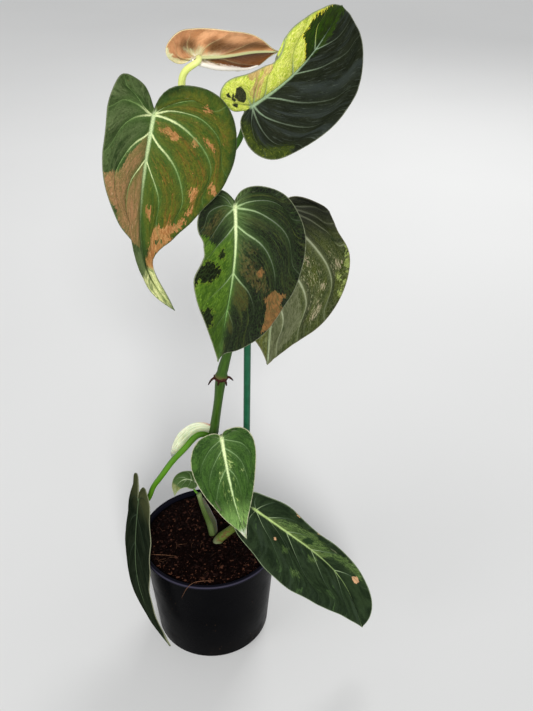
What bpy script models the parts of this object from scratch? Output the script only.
"""Philodendron melanochrysum: a young variegated climber on a green stake, in a black nursery pot.

Metres, +Z up. The origin is the centre of the pot's underside, and -Y is the side the plant faces.
Lengths in the tables below are millimetres, turned into metres by MM where the meshes are made.
"""
import math

import bmesh
import bpy
import numpy as np
from mathutils import Vector

MM = 0.001
GAP = 0.35                     # clearance between pieces that touch on the real plant

# Pot: a tapered round nursery pot, 12 cm across its rim
POT_HEIGHT = 100.0
RIM_RADIUS = 60.0
RIM_LIP = 2.4                  # how far the rim stands out from the wall
RIM_DEPTH = 3.2
BASE_RADIUS = 49.5
WALL = 1.5
FLOOR = 2.4
FOOT_BEVEL = 2.0               # rounding where the wall meets the base
RIM_BEVEL = 0.8                # and of the lip's upper edges
POT_SIDES = 48
DRAIN_HOLES = 6
DRAIN_RADIUS = 4.0
DRAIN_CIRCLE = 34.0

# Soil: coconut fibre, almost level with the rim
SOIL_TOP = 98.0
SOIL_RIPPLE = 0.8
SOIL_EDGE = 0.8                # how far it sinks at the wall
SOIL_RINGS = 7

# Stake: a plastic-coated rod, leaning very slightly
STAKE_FOOT = (29.4, 9.0, 24.0)
STAKE_HEAD = (36.6, 9.0, 394.0)
STAKE_RADIUS = 2.7

# Main stem: centre line and radius, soil to growing tip; the fat rows are the nodes
STEM = [
    (21.0, 4.0, 54.0, 3.8), (21.0, 4.0, 92.0, 4.2), (18.0, 3.4, 116.0, 4.1), (11.5, 2.2, 143.0, 4.1),
    (5.8, 1.1, 166.0, 4.4), (6.3, 1.0, 207.0, 4.1), (12.3, 1.0, 249.0, 3.6), (14.6, 1.0, 266.0, 4.3), (20.3, 1.0, 289.0, 3.3),
    (27.0, 2.0, 333.0, 3.8), (25.0, 2.0, 362.0, 3.2), (17.5, 2.0, 396.0, 3.6), (9.0, 0.5, 417.0, 3.1),
    (3.8, -1.0, 436.0, 2.9),
]

# Blades. Across a blade x runs from the midrib, minus on the leaf's left as its upper face is seen
# with the tip down; y runs along the midrib from the point where the stalk meets it, so the two
# lobes lie at negative y. "midrib" is the midrib in the pot's frame, "faces" the way the upper face
# looks, which "tip_faces" turns towards the tip, "fold" how far each half rises, in degrees, and
# "droop" how far its margin sinks again.
BLADE_THICKNESS = 0.9
LEAVES = {
    "newest": dict(
        midrib=[(9, -20, 508), (26, -17, 508), (40, -9, 508), (57, 0, 506)],
        faces=(-0.1, 1.0, 0.25), fold=(12, 25), droop=(3, 3), half_width=18,
        left=[(0, -3), (4, -6), (6, -11), (3, -16), (-4, -19), (-12, -15), (-17, -7), (-17.5, 4),
              (-15.5, 17), (-12, 30), (-6, 42), (-2, 48)],
        right=[(0, -3), (3, -4), (6, 1), (9, 8), (12, 18), (15, 28), (15, 36), (12, 43), (7, 47), (3, 50)],
        color=(0.42, 0.23, 0.13)),
    "top_right": dict(
        midrib=[(40, -26, 481), (61, -15, 493), (80, 2, 509), (95, 24, 528)],
        faces=(0.55, -1.0, 0.35), fold=(22, 34), droop=(6, 6), half_width=45,
        left=[(0, -4), (-4, -11), (-11, -14), (-20, -15), (-29, -12), (-35, -6), (-38, 4), (-40, 20),
              (-40, 38), (-36, 55), (-29, 68), (-19, 80), (-8, 87)],
        right=[(0, -4), (4, -11), (13, -15), (21, -16), (26, -11), (25, 0), (20, 17), (20, 27), (27, 35),
               (29, 43), (26, 54), (19, 68), (9, 82)],
        color=(0.10, 0.16, 0.06)),
    "upper_left": dict(
        midrib=[(-15, -58, 486), (-19, -64, 468), (-24, -67, 441), (-27, -66, 413), (-24, -62, 385),
                (-11, -55, 357)],
        faces=(0.52, -1.0, 0.12), fold=(22, 22), droop=(7, 7), half_width=45,
        left=[(0, -2), (-4, -8), (-10, -14), (-18, -17), (-26, -17), (-31, -9), (-32, 3), (-31, 20),
              (-28, 36), (-21, 52), (-12, 67), (-4, 80), (-4, 95), (-5, 110), (-3, 124)],
        right=[(0, -2), (2, -10), (8, -17), (18, -20), (29, -20), (40, -16), (49, -7), (54, 5), (55, 18),
               (52, 32), (45, 46), (35, 59), (25, 72), (13, 83), (6, 91), (4, 104), (3, 122)],
        color=(0.12, 0.14, 0.05)),
    "middle": dict(
        midrib=[(29, -36, 420), (29, -43, 396), (26, -46, 370), (21, -45, 342), (15, -41, 308)],
        faces=(0.40, -1.0, 0.18), fold=(20, 20), droop=(6, 6), half_width=42,
        left=[(0, -4), (-5, -9), (-12, -12), (-21, -7), (-28, 3), (-28, 13), (-25, 20), (-25, 31),
              (-30, 42), (-29, 50), (-24, 63), (-17, 76), (-10, 91), (-4, 105)],
        right=[(0, -4), (4, -10), (12, -13), (22, -12), (33, -7), (42, 4), (47, 16), (48, 29), (46, 44),
               (41, 59), (33, 79), (22, 95), (12, 103), (4, 107)],
        color=(0.07, 0.10, 0.05)),
    "back": dict(
        midrib=[(61, 20, 396), (58, 23, 354), (53, 20, 309), (50, 12, 269)],
        faces=(-0.35, 1.0, 0.0), fold=(16, 16), droop=(6, 6), half_width=48,
        left=[(0, -4), (-4, -6), (-13, -5), (-22, -1), (-31, 4), (-39, 10), (-45, 20), (-53, 32),
              (-62, 44), (-65, 57), (-64, 72), (-58, 88), (-46, 102), (-30, 112), (-12, 121)],
        right=[(0, -4), (4, -10), (14, -11), (25, -6), (35, 3), (44, 17), (49, 34), (49, 52), (43, 71),
               (33, 87), (20, 101), (8, 113)],
        color=(0.16, 0.20, 0.12)),
    "low_front": dict(
        midrib=[(15, -26, 227), (20, -36, 197), (26, -42, 168), (33, -42, 138)],
        faces=(0.0, -1.0, 0.55), fold=(14, 14), droop=(3, 3), half_width=26,
        left=[(0, -2), (-4, -5), (-11, -5), (-18, -2), (-24, 5), (-27, 14), (-27, 25), (-23, 39),
              (-16, 55), (-9, 71), (-3, 84)],
        right=[(0, -2), (3, -6), (9, -8), (16, -8), (22, -4), (25, 4), (25, 14), (22, 29), (17, 46),
               (11, 61), (5, 76)],
        color=(0.14, 0.32, 0.08)),
    "low_right": dict(
        midrib=[(40, -14, 142), (69, -22, 122), (106, -34, 92), (132, -42, 31)],
        faces=(0.0, -1.0, 0.95), fold=(14, 24), droop=(4, 5), half_width=38,
        left=[(0, -4), (-4, -12), (-13, -14), (-21, -9), (-27, 3), (-31, 18), (-35, 30), (-37, 43),
              (-38, 60), (-34, 81), (-28, 103), (-19, 120), (-8, 139)],
        right=[(0, -4), (3, -12), (10, -13), (15, -4), (18, 8), (20, 22), (18, 35), (16, 50), (17, 68),
               (18, 85), (18, 102), (17, 120), (13, 135), (5, 148)],
        color=(0.10, 0.15, 0.09)),
    "low_left": dict(
        midrib=[(-59, 2, 137), (-62, -10, 110), (-59, -32, 66), (-34, -53, 20)],
        faces=(-1.0, -0.27, 0.10), tip_faces=(-1.0, -0.62, 0.10), fold=(3, -2), droop=(2, 3), half_width=42,
        left=[(0, -3), (-4, -11), (-13, -17), (-24, -17), (-34, -9), (-39, 4), (-40, 20), (-38, 40),
              (-31, 64), (-21, 88), (-10, 112), (-3, 127)],
        right=[(0, -3), (4, -11), (13, -17), (24, -17), (34, -9), (39, 4), (40, 20), (38, 40),
               (31, 64), (20, 88), (9, 112), (3, 127)],
        color=(0.07, 0.10, 0.07)),
    "juvenile": dict(
        midrib=[(-13, 2, 160), (-18, 1, 162), (-24, -2, 160), (-27, -6, 151)],
        faces=(0.1, -0.5, 1.0), fold=(18, 18), droop=(2, 2), half_width=8,
        left=[(0, -2), (-3, -5), (-7, -3), (-8, 3), (-7, 10), (-4, 16)],
        right=[(0, -2), (3, -5), (7, -3), (8, 3), (7, 10), (4, 16)],
        color=(0.12, 0.22, 0.08)),
}

TURN = 2.4                     # how soon a stalk turns in to its blade, in stalk radii

# Stalks: centre line from the stem towards the blade, with the radius at the foot and at the blade.
# The last stretch turns in square to the blade's underside.
STALKS = {
    "newest": dict(route=[(3.6, -1.6, 436.9), (1, -7, 456), (-2.5, -15, 478), (-1.5, -22, 492),
                          (3, -26, 503)],
                   radius=(2.7, 2.4), on_stem=False),
    "top_right": dict(route=[(9, 0.5, 417), (17, -5, 433), (29, -13, 451), (35, -19, 466)],
                      radius=(2.2, 1.6), on_stem=True),
    "upper_left": dict(route=[(17.5, 2, 396), (12, -8, 414), (2, -24, 444), (-10, -40, 470)],
                       radius=(2.8, 2.2), on_stem=True),
    "middle": dict(route=[(27, 2, 333), (29, -9, 350), (30, -20, 382), (28, -27, 408)],
                   radius=(2.8, 2.1), on_stem=True),
    "back": dict(route=[(25.6, 2, 352), (35, -4, 366), (49, -3, 385), (60, 6, 395)],
                 radius=(2.8, 2.1), on_stem=True),
    "low_front": dict(route=[(5.4, 1, 166), (7, -9, 182), (11, -14, 203)],
                      radius=(2.4, 1.8), on_stem=True),
    "low_right": dict(route=[(9, -4, 84), (6.8, -4.8, 91), (7.4, -5.7, 98.8), (12.3, -6.3, 105.8),
                             (20, -8, 115), (30, -10.5, 127.5)],
                      radius=(4.8, 2.6), on_stem=False),
    "low_left": dict(route=[(6.2, 1, 206), (-2.1, 0, 211), (-15, 0, 199), (-27, 1, 183), (-40, 2, 162),
                            (-47, 3, 149)],
                     radius=(2.9, 2.4), on_stem=True),
    "juvenile": dict(route=[(-8.6, -4, 151.7), (-10.5, -2, 152.4), (-12.6, 1.5, 154.5)], radius=(0.9, 0.8),
                     on_stem=False),
}

# Basal sheath leaning out beside the stem, soil to tip
BASAL_SHEATH = [(2.6, 3.4, 84, 3.0), (1.9, 2.0, 98, 3.0), (1.1, 0.8, 108, 3.1), (-0.9, -0.9, 119.5, 2.9),
                (-3.6, -2.4, 131, 2.5), (-7.2, -4, 150.5, 2.1)]

# Pale wing on top of the low left stalk: where it starts and ends along the stalk, and its height
WING_SPAN = (0.05, 0.42)
WING_HEIGHT = 8.5
WING_HEEL = 0.25               # how abruptly it rises beside the stem
WING_BLUNT = 0.7               # below 1 its top is flatter than an arch
WING_LOW = 0.8                 # its height at the far end
WING_CUP = 2.6                 # how far its middle bulges to the front
WING_THICKNESS = 0.9
WING_STEPS = (14, 4)           # divisions along the stalk and up the wing

# Dry root stubs ringing the second node
ROOT_NODE = (14.4, 1.0, 265.0)
ROOT_RING_RADIUS = 4.3         # at the middle of the ring's section, which is an upright oval
ROOT_RING_HALF = (1.1, 1.6)
ROOT_STUBS = [(10, 5.0), (75, 4.0), (150, 3.5), (185, 6.0), (255, 3.5), (310, 4.0)]   # degrees, length
ROOT_STUB_RADIUS = (1.1, 0.5)
ROOT_STUB_DIP = 0.8            # how far a stub drops for each millimetre outward

MARGIN_STEPS = 18              # divisions of a blade's margin, sinus to tip
ACROSS_STEPS = 5               # divisions from midrib to margin
FAN_SHARE = 0.42               # part of the margin whose veins all spring from the stalk's end
FOOT_POWER = 1.15              # crowds the other veins' feet a little towards the stalk
PATH_POINTS = 120              # points kept along a smooth line that is read later
STEM_STEP = 8.0                # spacing of the rings along the stem and the sheath
STALK_STEP = 4.5               # along a leaf stalk
STAKE_STEP = 120.0             # and along the straight stake


def clear_scene():
    for obj in list(bpy.data.objects):
        bpy.data.objects.remove(obj, do_unlink=True)


def material(name, color, roughness):
    mat = bpy.data.materials.new(name)
    mat.use_nodes = True
    shader = mat.node_tree.nodes["Principled BSDF"]
    shader.inputs["Base Color"].default_value = (*color, 1.0)
    shader.inputs["Roughness"].default_value = roughness
    shader.inputs["Metallic"].default_value = 0.0
    return mat


def add_object(name, mesh, mat=None):
    obj = bpy.data.objects.new(name, mesh)
    bpy.context.scene.collection.objects.link(obj)
    if mat is not None:
        obj.data.materials.append(mat)
    return obj


def natural_curve(points):
    """Return a function that reads the smooth curve through the points at a length along it."""
    pts = np.array(points, dtype=float)
    knots = np.concatenate([[0.0], np.cumsum(np.linalg.norm(np.diff(pts[:, :3], axis=0), axis=1))])
    gaps = np.diff(knots)
    count = len(pts)
    system = np.eye(count)
    right = np.zeros_like(pts)
    for i in range(1, count - 1):
        system[i, i - 1:i + 2] = (gaps[i - 1], 2 * (gaps[i - 1] + gaps[i]), gaps[i])
        right[i] = 6 * ((pts[i + 1] - pts[i]) / gaps[i] - (pts[i] - pts[i - 1]) / gaps[i - 1])
    bend = np.linalg.solve(system, right)

    def read(length):
        length = np.asarray(length, dtype=float)
        k = np.clip(np.searchsorted(knots, length) - 1, 0, count - 2)
        ahead = (knots[k + 1] - length)[..., None]
        behind = (length - knots[k])[..., None]
        gap = gaps[k][..., None]
        curved = (bend[k] * ahead ** 3 + bend[k + 1] * behind ** 3) / (6 * gap)
        straight = ((pts[k] / gap - bend[k] * gap / 6) * ahead
                    + (pts[k + 1] / gap - bend[k + 1] * gap / 6) * behind)
        return curved + straight

    return read, knots[-1]


def even_points(points, count):
    """Points at even steps along the smooth curve through the given ones, both ends included."""
    read, reach = natural_curve(points)
    fine = read(np.linspace(0.0, reach, 40 * len(points)))
    run = np.concatenate([[0.0], np.cumsum(np.linalg.norm(np.diff(fine[:, :3], axis=0), axis=1))])
    marks = np.linspace(0.0, run[-1], count)
    return np.stack([np.interp(marks, run, fine[:, k]) for k in range(fine.shape[1])], axis=1), run[-1]


def unit(vector):
    return vector / np.linalg.norm(vector, axis=-1, keepdims=True)


class BladeForm:
    """A blade's curved surface: it turns leaf coordinates x, y into points of the pot's frame."""

    def __init__(self, leaf):
        self.line, self.length = even_points(leaf["midrib"], PATH_POINTS)
        self.marks = np.linspace(0.0, self.length, len(self.line))
        self.heading = unit(np.gradient(self.line, axis=0))
        self.faces = np.array(leaf["faces"], dtype=float)
        self.turn = np.array(leaf.get("tip_faces", leaf["faces"]), dtype=float) - self.faces
        self.fold = np.radians(leaf["fold"])
        self.droop = leaf["droop"]
        self.half_width = leaf["half_width"]

    def along(self, table, y):
        return np.stack([np.interp(y, self.marks, table[:, k]) for k in range(3)], axis=-1)

    def frame(self, y):
        """Point on the midrib, the way it runs, the upper face's normal and the way across."""
        inside = np.clip(y, 0.0, self.length)
        run = unit(self.along(self.heading, inside))
        faces = self.faces + self.turn * (inside / self.length)[..., None]
        normal = unit(faces - np.sum(run * faces, axis=-1, keepdims=True) * run)
        point = self.along(self.line, inside) + (y - inside)[..., None] * run
        return point, run, normal, np.cross(normal, run)

    def at(self, x, y):
        x = np.asarray(x, dtype=float)
        y = np.asarray(y, dtype=float)
        point, _, normal, across = self.frame(y)
        side = (x > 0).astype(int)
        fold = self.fold[side]
        droop = np.array(self.droop)[side]
        rise = np.abs(x) * np.sin(fold) - droop * (x / self.half_width) ** 2
        return point + across * (x * np.cos(fold))[..., None] + normal * rise[..., None]


def margin(leaf, side, length):
    """The margin of one half, from the notch between the lobes round to the tip."""
    points = [(*p, 0.0) for p in leaf[side]] + [(0.0, length, 0.0)]
    return even_points(points, MARGIN_STEPS + 1)[0][:, :2]


def blade_grid_point(form, margins, u, v):
    """Leaf coordinates of a grid point: u = 0 at the notch and 1 at the tip, v = -1..1 across."""
    edge = margins["left" if v < 0 else "right"][round(u * MARGIN_STEPS)]
    foot = form.length * max(0.0, (u - FAN_SHARE) / (1.0 - FAN_SHARE)) ** FOOT_POWER
    return abs(v) * edge[0], foot + abs(v) * (edge[1] - foot)


def blade(name, leaf):
    """A thin blade: a grid laid over the leaf's form, split into triangles, then given thickness."""
    form = BladeForm(leaf)
    margins = {side: margin(leaf, side, form.length) for side in ("left", "right")}
    bm = bmesh.new()
    bmesh.ops.create_grid(bm, x_segments=MARGIN_STEPS, y_segments=2 * ACROSS_STEPS, size=1.0)
    for vert in bm.verts:
        u = (vert.co.x + 1.0) / 2.0
        x, y = blade_grid_point(form, margins, u, round(vert.co.y, 5))
        vert.co = Vector(form.at(x, y)) * MM
    bmesh.ops.remove_doubles(bm, verts=bm.verts, dist=0.05 * MM)
    bmesh.ops.triangulate(bm, faces=bm.faces, quad_method="SHORT_EDGE")
    bmesh.ops.recalc_face_normals(bm, faces=bm.faces)
    mesh = bpy.data.meshes.new("leaf_" + name)
    bm.to_mesh(mesh)
    bm.free()
    mesh.shade_smooth()
    obj = add_object("leaf_" + name, mesh, material("leaf_" + name, leaf["color"], 0.45))
    shell = obj.modifiers.new("thickness", "SOLIDIFY")
    shell.thickness = BLADE_THICKNESS * MM
    shell.offset = 0.0
    return obj


def tube(name, rows, sides, mat=None, swell=0.0, step=STEM_STEP):
    """A round tube with closed ends along a smooth curve; rows hold x, y, z and radius."""
    length = even_points(rows, 2)[1]
    samples = even_points(rows, max(3, round(length / step)) + 1)[0]
    curve = bpy.data.curves.new(name, "CURVE")
    curve.dimensions = "3D"
    curve.bevel_depth = MM
    curve.bevel_resolution = sides // 2 - 2
    curve.use_fill_caps = True
    spline = curve.splines.new("POLY")
    spline.points.add(len(samples) - 1)
    for point, (x, y, z, radius) in zip(spline.points, samples):
        point.co = (x * MM, y * MM, z * MM, 1.0)
        point.radius = radius + swell
    guide = add_object(name + "_guide", curve)
    bpy.context.view_layer.update()
    mesh = bpy.data.meshes.new_from_object(guide.evaluated_get(bpy.context.evaluated_depsgraph_get()))
    bpy.data.objects.remove(guide, do_unlink=True)
    bm = bmesh.new()
    bm.from_mesh(mesh)
    bmesh.ops.remove_doubles(bm, verts=bm.verts, dist=0.01 * MM)
    bmesh.ops.recalc_face_normals(bm, faces=bm.faces)
    bm.to_mesh(mesh)
    bm.free()
    mesh.shade_smooth()
    mesh.name = name
    return add_object(name, mesh, mat)


def as_cutter(obj):
    obj.display_type = "WIRE"
    obj.hide_render = True
    return obj


def cut(obj, cutter):
    mod = obj.modifiers.new("cut_" + cutter.name, "BOOLEAN")
    mod.operation = "DIFFERENCE"
    mod.solver = "EXACT"
    mod.object = cutter


def stalk_rows(name):
    """The stalk's centre line and radius, ended square to the underside of its blade."""
    stalk = STALKS[name]
    form = BladeForm(LEAVES[name])
    start, _, normal, _ = form.frame(np.array(0.0))
    end = start - normal * (BLADE_THICKNESS / 2 + GAP)
    turn = start - normal * (TURN * stalk["radius"][1])
    route = [np.array(p, dtype=float) for p in stalk["route"]] + [turn, end]
    radii = np.linspace(stalk["radius"][0], stalk["radius"][1], len(route))
    return [(*p, r) for p, r in zip(route, radii)]


def pot():
    """The tapered wall, floor and rolled lip as one turned body, with drain holes in the floor."""
    wall_top = RIM_RADIUS - RIM_LIP
    slope = (wall_top - BASE_RADIUS) / POT_HEIGHT
    profile = [
        (0.0, 0.0), (BASE_RADIUS - FOOT_BEVEL, 0.0), (BASE_RADIUS, FOOT_BEVEL),
        (wall_top - slope * RIM_DEPTH, POT_HEIGHT - RIM_DEPTH),
        (RIM_RADIUS, POT_HEIGHT - RIM_DEPTH + RIM_BEVEL), (RIM_RADIUS, POT_HEIGHT - RIM_BEVEL),
        (RIM_RADIUS - RIM_BEVEL, POT_HEIGHT), (wall_top - WALL, POT_HEIGHT - RIM_BEVEL / 2),
        (BASE_RADIUS - WALL, FLOOR), (0.0, FLOOR),
    ]
    bm = bmesh.new()
    verts = [bm.verts.new((r * MM, 0.0, z * MM)) for r, z in profile]
    edges = [bm.edges.new(pair) for pair in zip(verts, verts[1:])]
    bmesh.ops.spin(bm, geom=verts + edges, axis=(0, 0, 1), cent=(0, 0, 0), steps=POT_SIDES,
                   angle=2 * math.pi, use_merge=True)
    bmesh.ops.remove_doubles(bm, verts=bm.verts, dist=0.01 * MM)
    bmesh.ops.recalc_face_normals(bm, faces=bm.faces)
    mesh = bpy.data.meshes.new("pot")
    bm.to_mesh(mesh)
    bm.free()
    mesh.shade_smooth()
    obj = add_object("pot", mesh, material("pot", (0.012, 0.012, 0.013), 0.25))
    holes = bmesh.new()
    for k in range(DRAIN_HOLES):
        angle = 2 * math.pi * k / DRAIN_HOLES
        made = bmesh.ops.create_cone(holes, cap_ends=True, segments=16, radius1=DRAIN_RADIUS * MM,
                                     radius2=DRAIN_RADIUS * MM, depth=4 * FLOOR * MM)
        place = Vector((DRAIN_CIRCLE * math.cos(angle), DRAIN_CIRCLE * math.sin(angle), 0.0)) * MM
        bmesh.ops.translate(holes, verts=made["verts"], vec=place)
    hole_mesh = bpy.data.meshes.new("drain_holes")
    holes.to_mesh(hole_mesh)
    holes.free()
    cut(obj, as_cutter(add_object("drain_holes", hole_mesh)))
    return obj


def soil(cutters):
    """Fills the pot to a rippled top, with a plain hole for each thing that stands in it."""
    wall_top = RIM_RADIUS - RIM_LIP
    slope = (wall_top - BASE_RADIUS) / POT_HEIGHT
    low = FLOOR + GAP
    floor_radius = BASE_RADIUS - WALL + slope * low - 2 * GAP
    top_radius = BASE_RADIUS - WALL + slope * SOIL_TOP - 2 * GAP
    profile = [(0.0, low), (floor_radius, low), (top_radius, SOIL_TOP - SOIL_EDGE)]
    profile += [(top_radius * k / SOIL_RINGS, SOIL_TOP) for k in range(SOIL_RINGS - 1, -1, -1)]
    bm = bmesh.new()
    verts = [bm.verts.new((r * MM, 0.0, z * MM)) for r, z in profile]
    edges = [bm.edges.new(pair) for pair in zip(verts, verts[1:])]
    bmesh.ops.spin(bm, geom=verts + edges, axis=(0, 0, 1), cent=(0, 0, 0), steps=POT_SIDES,
                   angle=2 * math.pi, use_merge=True)
    bmesh.ops.remove_doubles(bm, verts=bm.verts, dist=0.01 * MM)
    for vert in bm.verts:
        x, y, z = vert.co / MM
        if z > SOIL_TOP - SOIL_EDGE / 2:
            ripple = math.sin(0.31 * x + 1.3) * math.cos(0.27 * y) + 0.6 * math.sin(0.53 * x - 0.44 * y)
            vert.co.z += SOIL_RIPPLE * ripple * MM
    bmesh.ops.recalc_face_normals(bm, faces=bm.faces)
    mesh = bpy.data.meshes.new("soil")
    bm.to_mesh(mesh)
    bm.free()
    obj = add_object("soil", mesh, material("soil", (0.045, 0.022, 0.014), 0.95))
    for cutter in cutters:
        cut(obj, cutter)
    return obj


def wing(stem_cutter):
    """The pale membrane that stands on the low left stalk: a thin cupped strip, high in its middle."""
    path = even_points(stalk_rows("low_left"), PATH_POINTS + 1)[0]
    front = np.array((0.0, -1.0, 0.0))
    bm = bmesh.new()
    bmesh.ops.create_grid(bm, x_segments=WING_STEPS[0], y_segments=WING_STEPS[1], size=1.0)
    for vert in bm.verts:
        u = (vert.co.x + 1.0) / 2.0
        v = (vert.co.y + 1.0) / 2.0
        mark = round(PATH_POINTS * (WING_SPAN[0] + (WING_SPAN[1] - WING_SPAN[0]) * u))
        centre, radius = path[mark][:3], path[mark][3]
        run = unit(path[mark + 1][:3] - path[mark - 1][:3])
        up = unit(np.cross(run, front))
        up = up if up[2] > 0 else -up
        swell = abs(math.sin(math.pi * (WING_HEEL + (1.0 - WING_HEEL) * u)))
        height = WING_LOW + WING_HEIGHT * swell ** WING_BLUNT
        base = centre + up * (radius + GAP + WING_THICKNESS / 2)
        bulge = WING_CUP * math.sin(math.pi * v) * math.sin(math.pi * u)
        vert.co = Vector(base + up * (height * v) + front * bulge) * MM
    bmesh.ops.triangulate(bm, faces=bm.faces, quad_method="SHORT_EDGE")
    bmesh.ops.recalc_face_normals(bm, faces=bm.faces)
    mesh = bpy.data.meshes.new("stalk_wing")
    bm.to_mesh(mesh)
    bm.free()
    mesh.shade_smooth()
    obj = add_object("stalk_wing", mesh, material("stalk_wing", (0.55, 0.58, 0.46), 0.5))
    shell = obj.modifiers.new("thickness", "SOLIDIFY")
    shell.thickness = WING_THICKNESS * MM
    shell.offset = 0.0
    cut(obj, stem_cutter)
    return obj


def node_roots(stem_cutter):
    """Dry brown root stubs growing from a ring round the stem, fused into one body."""
    node = Vector(ROOT_NODE) * MM
    brown = material("node_roots", (0.10, 0.035, 0.02), 0.8)
    ring = bmesh.new()
    bmesh.ops.create_circle(ring, segments=8, radius=MM)
    for vert in ring.verts:
        x, y, _ = vert.co
        vert.co = (x * ROOT_RING_HALF[0] + ROOT_RING_RADIUS * MM, 0.0, y * ROOT_RING_HALF[1])
    bmesh.ops.spin(ring, geom=list(ring.verts) + list(ring.edges), axis=(0, 0, 1), cent=(0, 0, 0),
                   steps=20, angle=2 * math.pi, use_merge=True)
    bmesh.ops.recalc_face_normals(ring, faces=ring.faces)
    bmesh.ops.translate(ring, verts=ring.verts, vec=node)
    mesh = bpy.data.meshes.new("node_roots")
    ring.to_mesh(mesh)
    ring.free()
    obj = add_object("node_roots", mesh, brown)
    stubs = bpy.data.collections.new("root_stubs")
    bpy.context.scene.collection.children.link(stubs)
    for k, (degrees, length) in enumerate(ROOT_STUBS):
        out = Vector((math.cos(math.radians(degrees)), math.sin(math.radians(degrees)), 0.0))
        start = node + out * (ROOT_RING_RADIUS + ROOT_RING_HALF[0] / 4) * MM
        bm = bmesh.new()
        bmesh.ops.create_cone(bm, cap_ends=True, segments=6, radius1=ROOT_STUB_RADIUS[0] * MM,
                              radius2=ROOT_STUB_RADIUS[1] * MM, depth=length * MM)
        turn = Vector((0, 0, 1)).rotation_difference(out + Vector((0, 0, -ROOT_STUB_DIP)))
        bmesh.ops.translate(bm, verts=bm.verts, vec=(0, 0, length / 2 * MM))
        bmesh.ops.rotate(bm, verts=bm.verts, cent=(0, 0, 0), matrix=turn.to_matrix())
        bmesh.ops.translate(bm, verts=bm.verts, vec=start)
        stub_mesh = bpy.data.meshes.new("stub_%d" % k)
        bm.to_mesh(stub_mesh)
        bm.free()
        stubs.objects.link(bpy.data.objects.new("stub_%d" % k, stub_mesh))
    union = obj.modifiers.new("join", "BOOLEAN")
    union.operation = "UNION"
    union.solver = "EXACT"
    union.operand_type = "COLLECTION"
    union.collection = stubs
    cut(obj, stem_cutter)
    bpy.context.view_layer.update()
    joined = bpy.data.meshes.new_from_object(obj.evaluated_get(bpy.context.evaluated_depsgraph_get()))
    obj.modifiers.clear()
    obj.data = joined
    for stub in list(stubs.objects):
        bpy.data.objects.remove(stub, do_unlink=True)
    bpy.data.collections.remove(stubs)
    return obj


def build():
    clear_scene()
    pot()
    stem_green = material("main_stem", (0.13, 0.26, 0.05), 0.5)
    tube("main_stem", STEM, 12, stem_green)
    stem_cutter = as_cutter(tube("stem_clearance", [(x, y, z - GAP if k == 0 else z, r)
                                                    for k, (x, y, z, r) in enumerate(STEM)], 12, swell=GAP))
    stake_rows = [(*STAKE_FOOT, STAKE_RADIUS), (*STAKE_HEAD, STAKE_RADIUS)]
    tube("stake", stake_rows, 16, material("stake", (0.01, 0.22, 0.15), 0.4), step=STAKE_STEP)
    foot = (STAKE_FOOT[0], STAKE_FOOT[1], STAKE_FOOT[2] - GAP, STAKE_RADIUS)
    stake_cutter = as_cutter(tube("stake_clearance", [foot, stake_rows[1]], 16, swell=GAP, step=STAKE_STEP))
    tube("basal_sheath", BASAL_SHEATH, 8, material("basal_sheath", (0.30, 0.38, 0.20), 0.6))
    sheath_cutter = as_cutter(tube("sheath_clearance", BASAL_SHEATH, 8, swell=GAP))
    soil_cutters = [stem_cutter, stake_cutter, sheath_cutter]
    for name, leaf in LEAVES.items():
        blade(name, leaf)
        rows = stalk_rows(name)
        stalk = tube("stalk_" + name, rows, 8, material("stalk_" + name, (0.16, 0.32, 0.06), 0.5),
                     step=STALK_STEP)
        if STALKS[name]["on_stem"]:
            cut(stalk, stem_cutter)
        if name == "low_right":
            soil_cutters.append(as_cutter(tube("stalk_clearance", rows, 8, swell=GAP, step=STALK_STEP)))
    wing(stem_cutter)
    node_roots(stem_cutter)
    soil(soil_cutters)


build()
